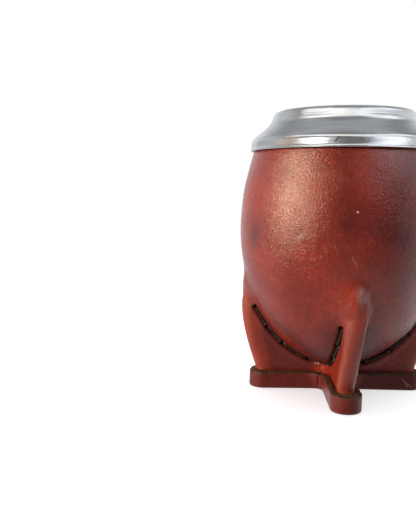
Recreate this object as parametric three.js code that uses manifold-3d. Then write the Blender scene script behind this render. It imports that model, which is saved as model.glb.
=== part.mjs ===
// A mate gourd cup. A dried gourd with its top cut off sits in a cover of thick moulded leather.
// The leather is pinched into four fins that run down to the table and stand the cup up, a black
// thread sews each quarter of it tight under the gourd, a leather band holds the fins at the foot,
// and a spun aluminium rim caps the mouth.
// Millimetres, +Z up. The origin is on the table under the middle of the cup, and the fins point
// to -Y (the front), +X, +Y and -X.
import * as THREE from 'three';
import { mergeVertices } from 'three/addons/utils/BufferGeometryUtils.js';
import Module from 'manifold-3d';

const wasm = await Module();
wasm.setup();

// Whole cup
const CUP_HEIGHT = 115;
const TOUCH_GAP = 0.3;
const LEAN = 0.0076;

// Egg shape of the leather, two half ellipses that meet at its widest height
const BODY_RADIUS = 41.3;
const WIDEST_Z = 66;
const UPPER_SEMI = 69.5;
const LOWER_SEMI = 55.5;
const LEATHER_THICKNESS = 2.4;
const LEATHER_TOP_Z = 104;

// Pinched fins
const FIN_RADIUS = 40.2;
const FIN_STRAIGHT_Z = 8.2;
const FIN_FULL_Z = 36;
const FIN_TOP_Z = 52;
const FIN_FOOT_CURVE = 1.6;
const FIN_TOP_DROP = 8;
const FIN_HALF_AT_FOOT = 3.3;
const FIN_HALF_AT_TOP = 4.8;
const FIN_FOOT_BLEND = 8;
const SEWN_BLEND = 1.5;
const LOOSE_BLEND = 9;
const SEWN_TOP_Z = 32;
const FIN_SWELL_Z = 20;
const LOOSE_Z = 46;
const FRONT_FIN_TURN = 4;

// Hollow under the foot and the slits where the two layers of each fin meet
const FOOT_HOLLOW_RADIUS = 4.8;
const FOOT_HOLLOW_DEPTH = 8;
const SLIT_WIDTH = 0.5;
const SLIT_DEPTH = 3;

// Band round the foot
const BAND_HEIGHT = 7.2;
const BAND_OUTER_HALF = 6;
const BAND_TIP_CENTRE = 30.5;
const BAND_CORNER = 7;
const BAND_EDGE = 0.5;
const BAND_JOINT_X = -8;
const BAND_JOINT_GAP = 0.4;

// Rim
const SKIRT_BOTTOM_Z = 99.1;
const LIP_RADIUS = 27.4;

// Gourd
const GOURD_WALL = 4.6;
const MOUTH_RADIUS = 24.8;
const GOURD_TOP_Z = 112.6;

// Thread
const THREAD_RADIUS = 0.5;
const THREAD_TOP_REACH = 34;
const THREAD_LIFT = 0.7;
const THREAD_SAG = 0.8;
const THREAD_SAG_FALL = 3;
const THREAD_LEAST_REACH = 8;
const THREAD_SPREAD_FALL = 2;
const THREAD_STEPS = 26;
const THREAD_SIDES = 5;

// Facets
const ROUND_STEPS = 40;
const EGG_STEPS = 13;
const FIN_STEPS = 7;
const BETWEEN_FINS_STEPS = 8;
const WIDEST_CREASE_ANGLE = 0.6;
const OPEN_CREASE_ANGLE = Math.PI / 6;
const FIN_LEVELS = 18;
const LEVELS_CROWD_LOW = 1.3;
const BODY_LEVELS = 9;
const BAND_CURVE_STEPS = 5;
const CUT_MARGIN = 1;
const WELD_DISTANCE = 1e-4;

// Searches for a point on the leather
const SEARCH_RADIUS = BODY_RADIUS * 1.2;
const HALVINGS = 40;
const TRACE_STEPS = 60;
const PROBE = 0.01;
const PUSH_ROUNDS = 30;
const PUSH_SHARE = 0.6;

const material = (colour, roughness, metalness = 0) =>
  new THREE.MeshStandardMaterial({ color: colour, roughness, metalness });
const LEATHER = material(0x8a3a2c, 0.42);
const BAND_LEATHER = material(0x74302a, 0.5);
const ALUMINIUM = material(0xc9ccd0, 0.28, 1);
const GOURD = material(0xb08a58, 0.75);
const THREAD = material(0x1c1e1b, 0.6);

const smooth = (from, to, x) => THREE.MathUtils.smoothstep(x, from, to);
const mix = THREE.MathUtils.lerp;

// Radius of the egg at a height, drawn in by an inset measured from its outer face.
function eggRadius(z, inset = 0) {
  const semi = (z > WIDEST_Z ? UPPER_SEMI : LOWER_SEMI) - inset;
  const u = (z - WIDEST_Z) / semi;
  return Math.abs(u) < 1 ? (BODY_RADIUS - inset) * Math.sqrt(1 - u * u) : 0;
}

// How far a fin's folded edge reaches from the cup's axis.
function finReach(z) {
  const footPull = FIN_RADIUS - BAND_TIP_CENTRE - FIN_HALF_AT_FOOT;
  const low = Math.max(FIN_FULL_Z - Math.max(z, FIN_STRAIGHT_Z), 0) / (FIN_FULL_Z - FIN_STRAIGHT_Z);
  const high = Math.max(z - FIN_FULL_Z, 0) / (FIN_TOP_Z - FIN_FULL_Z);
  return FIN_RADIUS - footPull * low ** FIN_FOOT_CURVE - FIN_TOP_DROP * high ** 2;
}

const finHalf = (z) => mix(FIN_HALF_AT_FOOT, FIN_HALF_AT_TOP, smooth(FIN_SWELL_Z, LOOSE_Z, z));
const sewnBlend = (z) => mix(SEWN_BLEND, LOOSE_BLEND, smooth(SEWN_TOP_Z, LOOSE_Z, z));

// The front fin is twisted a little to the right towards its top. The turn dies out above it.
function finTurn(fin, z) {
  if (fin !== 0) return 0;
  const turn = smooth(BAND_HEIGHT, LOOSE_Z, z) * (1 - smooth(FIN_TOP_Z, WIDEST_Z, z));
  return THREE.MathUtils.degToRad(FRONT_FIN_TURN) * turn;
}

// Heading of a fin's mid-plane: 0 is the front fin at -Y, then on round to +X, +Y and -X.
const finHeading = (fin, z) => (fin - 1) * Math.PI / 2 + finTurn(fin, z);

// Smaller of two distances, rounded off where they are within a blend of each other.
function blendedMin(a, b, blend) {
  const near = Math.max(blend - Math.abs(a - b), 0);
  return Math.min(a, b) - near * near / (4 * blend);
}

// Distance in plan from a point to one fin, a plate with a round edge.
function finDistance(fin, x, y, z) {
  const heading = finHeading(fin, z);
  const along = x * Math.cos(heading) + y * Math.sin(heading);
  const across = y * Math.cos(heading) - x * Math.sin(heading);
  const half = finHalf(z);
  const end = Math.max(finReach(z) - half, 0);
  return Math.hypot(along - THREE.MathUtils.clamp(along, 0, end), across) - half;
}

// Distance in plan from a point to the outside of the leather at a height.
function leatherDistance(x, y, z) {
  const frontOrBack = finDistance(y < 0 ? 0 : 2, x, y, z);
  const rightOrLeft = finDistance(x > 0 ? 1 : 3, x, y, z);
  const fins = blendedMin(frontOrBack, rightOrLeft, FIN_FOOT_BLEND);
  return blendedMin(fins, Math.hypot(x, y) - eggRadius(z), sewnBlend(z));
}

// Radius of the leather's outside in one direction at a height, by bisection.
function leatherRadius(heading, z) {
  let inside = 0;
  let outside = SEARCH_RADIUS;
  for (let i = 0; i < HALVINGS; i += 1) {
    const r = (inside + outside) / 2;
    if (leatherDistance(r * Math.cos(heading), r * Math.sin(heading), z) < 0) inside = r;
    else outside = r;
  }
  return (inside + outside) / 2;
}

// Angle between a fin's mid-plane and the crease where its side meets the body. Where the body has
// run out under the gourd the creases of two fins come close together, and above the fins the
// angle opens out, so that the level's points lie evenly round the body.
function creaseAngle(z) {
  const sewn = Math.min(Math.asin(Math.min(finHalf(z) / eggRadius(z), 1)), WIDEST_CREASE_ANGLE);
  return mix(sewn, OPEN_CREASE_ANGLE, smooth(LOOSE_Z, WIDEST_Z, z));
}

// Points spread evenly along the leather's outline at a height, from one heading up to another.
function leatherStretch(from, to, steps, z) {
  const trace = [];
  const walked = [];
  for (let i = 0; i <= TRACE_STEPS; i += 1) {
    const heading = mix(from, to, i / TRACE_STEPS);
    const r = leatherRadius(heading, z);
    trace.push(new THREE.Vector2(r * Math.cos(heading), r * Math.sin(heading)));
    walked.push(i === 0 ? 0 : walked[i - 1] + trace[i].distanceTo(trace[i - 1]));
  }
  const points = [];
  let i = 0;
  for (let step = 0; step < steps; step += 1) {
    const target = walked[TRACE_STEPS] * step / steps;
    while (walked[i + 1] < target) i += 1;
    const part = (target - walked[i]) / (walked[i + 1] - walked[i]);
    const p = trace[i].clone().lerp(trace[i + 1], part);
    points.push([p.x, p.y, z]);
  }
  return points;
}

// One level of the leather's outside: fold to crease, crease to crease and crease to fold.
function leatherLevel(z) {
  const points = [];
  const crease = creaseAngle(z);
  for (let fin = 0; fin < 4; fin += 1) {
    const from = finHeading(fin, z);
    const to = finHeading((fin + 1) % 4, z) + (fin === 3 ? 2 * Math.PI : 0);
    points.push(...leatherStretch(from, from + crease, FIN_STEPS, z));
    points.push(...leatherStretch(from + crease, to - crease, BETWEEN_FINS_STEPS, z));
    points.push(...leatherStretch(to - crease, to, FIN_STEPS, z));
  }
  return points;
}

// Closed mesh through a stack of levels with the same number of points, capped at both ends.
function loft(levels) {
  const n = levels[0].length;
  const last = levels.length - 1;
  const positions = levels.flat(2);
  positions.push(0, 0, levels[0][0][2], 0, 0, levels[last][0][2]);
  const bottom = levels.length * n;
  const index = [];
  for (let i = 0; i < n; i += 1) {
    const j = (i + 1) % n;
    for (let k = 0; k < last; k += 1) {
      const a = k * n;
      const b = a + n;
      index.push(a + i, a + j, b + j, a + i, b + j, b + i);
    }
    index.push(bottom, j, i, bottom + 1, last * n + i, last * n + j);
  }
  const geometry = new THREE.BufferGeometry();
  geometry.setAttribute('position', new THREE.Float32BufferAttribute(positions, 3));
  geometry.setIndex(index);
  return geometry;
}

// Lathe about Z from [radius, z] pairs that run up the outside.
function turned(profile, steps) {
  const points = profile.map(([r, z]) => new THREE.Vector2(r, z));
  return new THREE.LatheGeometry(points, steps).rotateX(Math.PI / 2);
}

function toSolid(geometry) {
  const bare = geometry.clone();
  bare.deleteAttribute('normal');
  bare.deleteAttribute('uv');
  const merged = mergeVertices(bare, WELD_DISTANCE);
  const triVerts = new Uint32Array(merged.index.array);
  const vertProperties = new Float32Array(merged.attributes.position.array);
  return new wasm.Manifold(new wasm.Mesh({ numProp: 3, vertProperties, triVerts }));
}

function toGeometry(solid) {
  const mesh = solid.getMesh();
  const geometry = new THREE.BufferGeometry();
  geometry.setAttribute('position', new THREE.Float32BufferAttribute(mesh.vertProperties, 3));
  geometry.setIndex([...mesh.triVerts]);
  geometry.computeVertexNormals();
  return geometry;
}

// Every piece leans alike: its plan slides towards +X with height, about the widest height.
const lean = new THREE.Matrix4().makeShear(0, 0, 0, 0, LEAN, 0);
lean.setPosition(-LEAN * WIDEST_Z, 0, 0);

const cup = new THREE.Group();
function addPiece(name, geometry, look) {
  const mesh = new THREE.Mesh(geometry.applyMatrix4(lean), look);
  mesh.name = name;
  cup.add(mesh);
}

// [radius, z] pairs up an egg drawn in by an inset, from its lowest point to a height, with even
// steps of angle so that the bottom stays round.
function eggProfile(inset, topZ) {
  const semi = UPPER_SEMI - inset;
  const end = Math.asin((topZ - WIDEST_Z) / semi);
  const profile = [];
  for (let i = 0; i <= EGG_STEPS; i += 1) {
    const angle = mix(-Math.PI / 2, end, i / EGG_STEPS);
    const rise = Math.sin(angle) * (angle > 0 ? semi : LOWER_SEMI - inset);
    profile.push([i === 0 ? 0 : (BODY_RADIUS - inset) * Math.cos(angle), WIDEST_Z + rise]);
  }
  return profile;
}

// The leather cover: body, fins and foot in one moulding, hollowed for the gourd.
function leatherCover() {
  const levels = [leatherLevel(0)];
  for (let i = 0; i <= FIN_LEVELS; i += 1) {
    const rise = (i / FIN_LEVELS) ** LEVELS_CROWD_LOW;
    levels.push(leatherLevel(mix(FIN_STRAIGHT_Z, FIN_TOP_Z, rise)));
  }
  for (let i = 1; i <= BODY_LEVELS; i += 1) {
    levels.push(leatherLevel(mix(FIN_TOP_Z, LEATHER_TOP_Z, i / BODY_LEVELS)));
  }
  const room = eggProfile(LEATHER_THICKNESS, LEATHER_TOP_Z);
  const aboveIt = LEATHER_TOP_Z + CUT_MARGIN;
  room.push([room.at(-1)[0], aboveIt], [0, aboveIt]);
  const hollow = [
    [0, -CUT_MARGIN],
    [FOOT_HOLLOW_RADIUS, -CUT_MARGIN],
    [FOOT_HOLLOW_RADIUS, FOOT_HOLLOW_DEPTH / 2],
    [FOOT_HOLLOW_RADIUS / 2, FOOT_HOLLOW_DEPTH],
    [0, FOOT_HOLLOW_DEPTH],
  ];
  let cover = toSolid(loft(levels))
    .subtract(toSolid(turned(room, ROUND_STEPS)))
    .subtract(toSolid(turned(hollow, ROUND_STEPS / 2)));
  for (let fin = 0; fin < 4; fin += 1) {
    const slit = new THREE.BoxGeometry(BAND_TIP_CENTRE, SLIT_WIDTH, 2 * SLIT_DEPTH);
    slit.translate(BAND_TIP_CENTRE / 2, 0, 0).rotateZ(finHeading(fin, 0));
    cover = cover.subtract(toSolid(slit));
  }
  return toGeometry(cover);
}

// The gourd: an egg-shaped wall, round inside, cut off square at the mouth.
function gourdShell() {
  const inset = LEATHER_THICKNESS + TOUCH_GAP;
  const outside = eggProfile(inset, LEATHER_TOP_Z);
  for (const z of [(LEATHER_TOP_Z + GOURD_TOP_Z) / 2, GOURD_TOP_Z]) {
    outside.push([eggRadius(z, inset + 2 * TOUCH_GAP), z]);
  }
  const inside = eggProfile(inset + GOURD_WALL, LEATHER_TOP_Z)
    .filter(([r, z]) => z < WIDEST_Z || r > MOUTH_RADIUS);
  inside.push([MOUTH_RADIUS, LEATHER_TOP_Z], [MOUTH_RADIUS, GOURD_TOP_Z]);
  return turned([...outside, ...inside.reverse()], ROUND_STEPS);
}

// The rim: one spun sheet, from the lip down over a cone to a skirt, and down inside the mouth.
// Its stations are [radius, z] pairs up the outside, over the lip and back under the sheet.
function metalRim() {
  const skirt = [[37.8, SKIRT_BOTTOM_Z], [37.5, 100.1], [37.5, 101.2]];
  const shoulder = [[37.1, 103], [36.4, 104.3], [35.5, 105.1]];
  const cone = [[31.3, 108.7], [30.3, 109.7], [29.4, 111]];
  const lip = [[29.2, 112.1], [29.1, 113.3], [28.4, 114.5], [LIP_RADIUS, CUP_HEIGHT], [26, 114.9]];
  const lining = [[24.7, 114.2], [23.9, 113.1], [23.6, 111.6], [23.6, 101.5]];
  const outside = [...skirt, ...shoulder, ...cone, ...lip, ...lining];
  const underside = [
    [24.3, 101.5], [24.3, 111.7], [24.6, 113.1], [25.4, 114], [27.2, 114.3], [28.1, 113.7],
    [28.5, 112.1], [28.8, 110.8], [29.8, 109.2], [35.1, 104.5], [36.3, 103], [36.8, 101.2],
    [37.1, SKIRT_BOTTOM_Z],
  ];
  return turned([...outside, ...underside, outside[0]], ROUND_STEPS);
}

// Plan of the band's outer or inner face: a cross with round tips and hollow corners.
function bandPlan(path, half) {
  const corner = BAND_OUTER_HALF + BAND_CORNER;
  for (let fin = 0; fin < 4; fin += 1) {
    const heading = finHeading(fin, 0);
    const tipX = BAND_TIP_CENTRE * Math.cos(heading);
    const tipY = BAND_TIP_CENTRE * Math.sin(heading);
    path.absarc(tipX, tipY, half, heading - Math.PI / 2, heading + Math.PI / 2, false);
    const diagonal = heading + Math.PI / 4;
    const cornerX = corner * Math.SQRT2 * Math.cos(diagonal);
    const cornerY = corner * Math.SQRT2 * Math.sin(diagonal);
    path.absarc(cornerX, cornerY, corner - half, heading - Math.PI / 2, heading - Math.PI, true);
  }
  path.closePath();
  return path;
}

// The band: a strip of leather bent round the foot, its ends butted by the left fin.
function footBand() {
  const inner = FIN_HALF_AT_FOOT + TOUCH_GAP;
  const plan = bandPlan(new THREE.Shape(), BAND_OUTER_HALF);
  plan.holes.push(bandPlan(new THREE.Path(), inner));
  const strip = new THREE.ExtrudeGeometry(plan, {
    depth: BAND_HEIGHT - 2 * BAND_EDGE,
    curveSegments: BAND_CURVE_STEPS,
    bevelThickness: BAND_EDGE,
    bevelSize: BAND_EDGE,
    bevelOffset: -BAND_EDGE,
    bevelSegments: 1,
  }).translate(0, 0, BAND_EDGE);
  const joint = new THREE.BoxGeometry(BAND_JOINT_GAP, BAND_OUTER_HALF, 3 * BAND_HEIGHT);
  joint.translate(BAND_JOINT_X, -(BAND_OUTER_HALF + inner) / 2, 0);
  return toGeometry(toSolid(strip).subtract(toSolid(joint)));
}

// A point moved away from the leather until it is a clearance off its surface.
function pushedClear(point, clearance) {
  const p = point.clone();
  for (let i = 0; i < PUSH_ROUNDS; i += 1) {
    const here = leatherDistance(p.x, p.y, p.z);
    const slope = new THREE.Vector3(
      leatherDistance(p.x + PROBE, p.y, p.z) - here,
      leatherDistance(p.x, p.y + PROBE, p.z) - here,
      leatherDistance(p.x, p.y, p.z + PROBE) - here,
    ).divideScalar(PROBE);
    const steep = slope.length();
    p.addScaledVector(slope, (clearance - here / steep) / steep * PUSH_SHARE);
  }
  return p;
}

// The thread of one quarter: down the crease beside a fin, round under the gourd and up the next.
function threadPath(quarter) {
  const steps = THREAD_STEPS;
  const points = [];
  for (let i = 0; i <= steps; i += 1) {
    const t = 2 * i / steps - 1;
    const fin = t < 0 ? quarter : (quarter + 1) % 4;
    const side = t < 0 ? 1 : -1;
    const reach = Math.max(THREAD_TOP_REACH * Math.abs(t), THREAD_LEAST_REACH);
    const z = WIDEST_Z - LOWER_SEMI * Math.sqrt(1 - (reach / BODY_RADIUS) ** 2);
    const heading = finHeading(fin, z);
    const inTheMiddle = THREAD_LEAST_REACH * (1 - THREAD_SPREAD_FALL * Math.abs(t));
    const spread = Math.max(finHalf(z), inTheMiddle) * side;
    const x = reach * Math.cos(heading) - spread * Math.sin(heading);
    const y = reach * Math.sin(heading) + spread * Math.cos(heading);
    const point = pushedClear(new THREE.Vector3(x, y, z), THREAD_RADIUS + THREAD_LIFT);
    point.z -= THREAD_SAG * Math.max(1 - THREAD_SAG_FALL * Math.abs(t), 0);
    points.push(point);
  }
  return new THREE.CatmullRomCurve3(points);
}

function thread(quarter) {
  const round = new THREE.Shape();
  for (let i = 0; i < THREAD_SIDES; i += 1) {
    const angle = 2 * Math.PI * i / THREAD_SIDES;
    const x = THREAD_RADIUS * Math.cos(angle);
    const y = THREAD_RADIUS * Math.sin(angle);
    if (i === 0) round.moveTo(x, y);
    else round.lineTo(x, y);
  }
  round.closePath();
  const path = threadPath(quarter);
  return new THREE.ExtrudeGeometry(round, { steps: THREAD_STEPS, extrudePath: path });
}

addPiece('gourd_shell', gourdShell(), GOURD);
addPiece('leather_cover', leatherCover(), LEATHER);
addPiece('foot_band', footBand(), BAND_LEATHER);
addPiece('metal_rim', metalRim(), ALUMINIUM);
['front_right', 'back_right', 'back_left', 'front_left'].forEach((where, quarter) => {
  addPiece(`thread_${where}`, thread(quarter), THREAD);
});

export default cup;
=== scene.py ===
import math
import bpy
import numpy as np
from mathutils import Matrix, Vector


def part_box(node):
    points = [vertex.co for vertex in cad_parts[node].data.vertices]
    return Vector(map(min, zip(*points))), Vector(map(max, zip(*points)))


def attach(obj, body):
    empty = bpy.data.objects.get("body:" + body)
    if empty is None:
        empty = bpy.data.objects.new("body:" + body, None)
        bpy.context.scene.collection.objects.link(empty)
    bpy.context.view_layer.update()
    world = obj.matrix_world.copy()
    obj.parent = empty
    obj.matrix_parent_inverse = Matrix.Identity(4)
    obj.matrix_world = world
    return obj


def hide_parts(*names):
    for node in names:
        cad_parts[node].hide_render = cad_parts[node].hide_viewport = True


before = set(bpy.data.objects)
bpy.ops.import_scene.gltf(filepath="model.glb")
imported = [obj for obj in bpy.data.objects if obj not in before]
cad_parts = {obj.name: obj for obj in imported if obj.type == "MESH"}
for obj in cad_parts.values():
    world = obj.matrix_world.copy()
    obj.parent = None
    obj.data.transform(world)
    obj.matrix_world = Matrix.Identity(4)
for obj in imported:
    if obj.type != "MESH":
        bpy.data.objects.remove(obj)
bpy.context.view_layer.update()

# The gourd. A dried gourd with its top sawn off is the cup's inner wall: hard, woody and nearly 5 mm
# thick. It is scraped out inside, which leaves it fibrous and stained. The leather holds it.
MM = 0.001
LEAN = 0.0076
WIDEST_Z = 66.0
BODY_RADIUS = 41.3
UPPER_SEMI = 69.5
LOWER_SEMI = 55.5
LEATHER_THICKNESS = 2.4
TOUCH_GAP = 0.3
GOURD_WALL = 4.6
MOUTH_RADIUS = 24.8
SHOULDER_Z = 104.0
NECK_LEVELS = (106.0, 109.0)
NECK_INSIDE_Z = 108.0
CUT_ROUNDING = 0.5
SCRAPED_DEPTH = 0.008
SCRAPED_LUMP = 9.0
GOURD_POINTS = 160
PROFILE_STEPS = 60
WAVES = 7
WAVE_SHARES = (0.35, 0.75)
WAVE_SUM = 3.2


def smooth(low, high, x):
    t = np.clip((x - low) / (high - low), 0, 1)
    return t * t * (3 - 2 * t)


def mix(a, b, t):
    return a + (b - a) * t


def egg_radius(z, inset=0.0):
    semi = np.where(z > WIDEST_Z, UPPER_SEMI, LOWER_SEMI) - inset
    return (BODY_RADIUS - inset) * np.sqrt(np.clip(1 - ((z - WIDEST_Z) / semi) ** 2, 0, 1))


def egg_profile(inset, top, count):
    end = math.asin((top - WIDEST_Z) / (UPPER_SEMI - inset))
    angle = np.linspace(-math.pi / 2, end, count)
    rise = np.sin(angle) * np.where(angle > 0, UPPER_SEMI - inset, LOWER_SEMI - inset)
    return np.stack([(BODY_RADIUS - inset) * np.cos(angle), WIDEST_Z + rise], 1)


def wobble(points, scale, seed):
    """Smooth unevenness between about -1 and 1, with lumps about scale mm across."""
    draw = np.random.default_rng(seed)
    total = np.zeros(points.shape[:-1])
    for _ in range(WAVES):
        way = draw.normal(size=3)
        way *= 2 * math.pi * draw.uniform(*WAVE_SHARES) / scale / np.linalg.norm(way)
        total += np.sin(points @ way + draw.uniform(0, 2 * math.pi))
    return total / WAVE_SUM


def turned(profile, count):
    """Rings about Z from (radius, z) pairs, count points to a ring."""
    heading = np.arange(count) * 2 * math.pi / count
    r, z = np.asarray(profile, float).T
    x = r[:, None] * np.cos(heading)
    y = r[:, None] * np.sin(heading)
    return np.stack([x, y, np.broadcast_to(z[:, None], x.shape)], 2)


def build(name, rings, looped=False, attributes=()):
    """A closed skin over rings (in mm) with the cup's lean on it. A looped stack joins its last
    ring to its first, and any other stack shrinks to a point at each end."""
    count, around = rings.shape[:2]
    points = rings.reshape(-1, 3).copy()
    i = np.arange(around)
    j = (i + 1) % around
    faces = []
    for k in range(count if looped else count - 1):
        a, b = k * around, (k + 1) % count * around
        faces.append(np.stack([a + i, a + j, b + j, b + i], 1))
    quads = np.concatenate(faces).tolist()
    if not looped:
        ends = np.stack([rings[0].mean(0), rings[-1].mean(0)])
        points = np.concatenate([points, ends])
        first, last = count * around, count * around + 1
        top = (count - 1) * around
        quads += np.stack([np.full(around, first), j, i], 1).tolist()
        quads += np.stack([np.full(around, last), top + i, top + j], 1).tolist()
    points[:, 0] += LEAN * (points[:, 2] - WIDEST_Z)
    mesh = bpy.data.meshes.new(name)
    mesh.from_pydata((points * MM).tolist(), [], quads)
    mesh.polygons.foreach_set("use_smooth", np.ones(len(mesh.polygons), bool))
    for label, values in attributes:
        full = np.zeros(len(points), np.float32)
        full[:values.size] = values.ravel()
        mesh.attributes.new(label, "FLOAT", "POINT").data.foreach_set("value", full)
    obj = bpy.data.objects.new(name, mesh)
    bpy.context.scene.collection.objects.link(obj)
    return obj


def new_look(name):
    """A new material: its tree, its Principled shader and its Object coordinates."""
    look = bpy.data.materials.new(name)
    look.use_nodes = True
    tree = look.node_tree
    coordinates = tree.nodes.new("ShaderNodeTexCoord")
    return look, tree, tree.nodes["Principled BSDF"], coordinates.outputs["Object"]


def add(tree, kind, inputs, **settings):
    """A shader node with its settings and inputs set: a socket is linked, a value is written."""
    node = tree.nodes.new(kind)
    for key, value in settings.items():
        setattr(node, key, value)
    for key, value in inputs.items():
        if isinstance(value, bpy.types.NodeSocket):
            tree.links.new(value, node.inputs[key])
        else:
            node.inputs[key].default_value = value
    return node


def noise(tree, where, scale, detail=3.0, rough=0.55, stretch=None):
    """Noise on Object coordinates. The scale is in lumps per metre."""
    if stretch:
        where = add(tree, "ShaderNodeMapping", {"Vector": where, "Scale": stretch}).outputs[0]
    made = add(tree, "ShaderNodeTexNoise",
               {"Vector": where, "Scale": scale, "Detail": detail, "Roughness": rough})
    return made.outputs["Fac"]


def ramp(tree, value, low, high, to_low=0.0, to_high=1.0):
    made = add(tree, "ShaderNodeMapRange", {
        "Value": value, "From Min": low, "From Max": high, "To Min": to_low, "To Max": to_high,
    }, interpolation_type="SMOOTHSTEP")
    return made.outputs[0]


def math_node(tree, kind, a, b=0.0):
    return add(tree, "ShaderNodeMath", {0: a, 1: b}, operation=kind).outputs[0]


def blend(tree, fac, a, b, how="MIX"):
    """Two colours mixed by a factor."""
    made = tree.nodes.new("ShaderNodeMix")
    made.data_type = "RGBA"
    made.blend_type = how
    for index, value in ((0, fac), (6, a), (7, b)):
        if isinstance(value, bpy.types.NodeSocket):
            tree.links.new(value, made.inputs[index])
        else:
            made.inputs[index].default_value = value if index == 0 else (*value, 1)
    return made.outputs[2]


gourd_inset = LEATHER_THICKNESS + TOUCH_GAP
outside = egg_profile(gourd_inset, SHOULDER_Z, PROFILE_STEPS)
cut_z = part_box("gourd_shell")[1].z / MM
below_cut_z = cut_z - CUT_ROUNDING
neck = [(float(egg_radius(z, gourd_inset + 2 * TOUCH_GAP)), z) for z in (*NECK_LEVELS, below_cut_z)]
neck += [(neck[-1][0] - CUT_ROUNDING, cut_z), (MOUTH_RADIUS + CUT_ROUNDING, cut_z)]
neck += [(MOUTH_RADIUS, z) for z in (below_cut_z, NECK_INSIDE_Z, SHOULDER_Z)]
inside = egg_profile(gourd_inset + GOURD_WALL, SHOULDER_Z, PROFILE_STEPS)
inside = inside[(inside[:, 1] < WIDEST_Z) | (inside[:, 0] > MOUTH_RADIUS)][::-1]
rings = turned(np.concatenate([outside[1:], neck, inside[:-1]]), GOURD_POINTS)
hollow = rings[PROFILE_STEPS + len(neck) - 1:]
scraped = 1 + wobble(hollow * (1, 1, 0.4), SCRAPED_LUMP, 3)
hollow[..., :2] *= 1 - SCRAPED_DEPTH * scraped[..., None]
gourd = build("gourd", rings)
look, tree, shader, where = new_look("gourd_wall")
fibre = noise(tree, where, 900.0, 4.0, 0.6, (1.0, 1.0, 0.12))
darkening = ramp(tree, noise(tree, where, 60.0, 4.0), 0.35, 0.7)
colour = blend(tree, fibre, (0.42, 0.27, 0.12), (0.21, 0.11, 0.045))
colour = blend(tree, math_node(tree, "MULTIPLY", darkening, 0.6), colour, (0.10, 0.075, 0.03))
tree.links.new(colour, shader.inputs["Base Color"])
shader.inputs["Roughness"].default_value = 0.8
raised = add(tree, "ShaderNodeBump", {"Height": fibre, "Distance": 0.0005, "Strength": 0.7})
tree.links.new(raised.outputs[0], shader.inputs["Normal"])
gourd.data.materials.append(look)
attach(gourd, "root")
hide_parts("gourd_shell")

# The leather cover. One piece of thick vegetable-tanned leather is moulded wet over the gourd, and
# what is left over at the bottom is pinched into four fins that stand the cup up. It is waxed and
# polished with use, so it is glossy on the belly and worn orange on the folds. Its creases, stitch
# holes and the leather facing down beside the seams are darkened with painted shade, and part of the
# left fin with a painted shadow.
FIN_RADIUS = 40.2
FIN_STRAIGHT_Z = 8.2
FIN_FULL_Z = 36.0
FIN_TOP_Z = 52.0
FIN_FOOT_CURVE = 1.6
FIN_TOP_DROP = 8.0
FIN_HALF_AT_FOOT = 3.3
FIN_HALF_AT_TOP = 4.8
FIN_FOOT_BLEND = 8.0
SEWN_BLEND = 1.5
LOOSE_BLEND = 9.0
SEWN_TOP_Z = 32.0
TIGHT_BLEND = 6.0
TIGHT_TOP_Z = 38.0
TIGHT_FROM_X = 7.0
LOOSE_FROM_X = 1.0
OPENING_HEIGHT = 14.0
FRONT_OPENING_HEIGHT = 9.0
FIN_SWELL_Z = 20.0
LOOSE_Z = 46.0
FRONT_FIN_TURN = math.radians(4)
BAND_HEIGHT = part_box("foot_band")[1].z / MM
BAND_TIP_CENTRE = 30.5
WIDEST_CREASE_ANGLE = 0.6
UPPER_CREASE_ANGLE = math.pi / 6
FIN_POINTS = 26
BODY_POINTS = 40
FIN_CROWDING = 1.7
BODY_CROWDING = 0.11
TRACE_STEPS = 120
HALVINGS = 30
SEARCH_MARGIN = 1.2
FOOT_EDGE_INSETS = (0.3, 0.1)
RELIEF_ENDS_Z = 99.5
RELIEF_FULL_Z = 97.0
LINING_STEPS = 40
HOLLOW_RADIUS = 4.8
HOLLOW_DEPTH = 8.0
SLIT_HALF = 0.25
SLIT_DEPTH = 3.0


def fin_reach(z):
    pull = FIN_RADIUS - BAND_TIP_CENTRE - FIN_HALF_AT_FOOT
    low = np.clip((FIN_FULL_Z - np.maximum(z, FIN_STRAIGHT_Z)) / (FIN_FULL_Z - FIN_STRAIGHT_Z), 0, 1)
    high = np.maximum(z - FIN_FULL_Z, 0) / (FIN_TOP_Z - FIN_FULL_Z)
    return FIN_RADIUS - pull * low ** FIN_FOOT_CURVE - FIN_TOP_DROP * high ** 2


def fin_half(z):
    return mix(FIN_HALF_AT_FOOT, FIN_HALF_AT_TOP, smooth(FIN_SWELL_Z, LOOSE_Z, z))


def fin_heading(fin, z):
    turn = smooth(BAND_HEIGHT, LOOSE_Z, z) * (1 - smooth(FIN_TOP_Z, WIDEST_Z, z))
    return (fin - 1) * math.pi / 2 + (FRONT_FIN_TURN * turn if fin == 0 else 0 * turn)


def blended_min(a, b, width):
    near = np.maximum(width - np.abs(a - b), 0)
    return np.minimum(a, b) - near * near / (4 * width)


def fin_distance(front, x, y, z):
    """Distance in plan to the nearer fin of a pair, front and back or right and left."""
    nearer = fin_heading(0, z) if front else fin_heading(1, z)
    further = fin_heading(2, z) if front else fin_heading(3, z)
    heading = np.where(y < 0 if front else x > 0, nearer, further)
    along = x * np.cos(heading) + y * np.sin(heading)
    across = y * np.cos(heading) - x * np.sin(heading)
    end = np.maximum(fin_reach(z) - fin_half(z), 0)
    return np.hypot(along - np.clip(along, 0, end), across) - fin_half(z)


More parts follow.
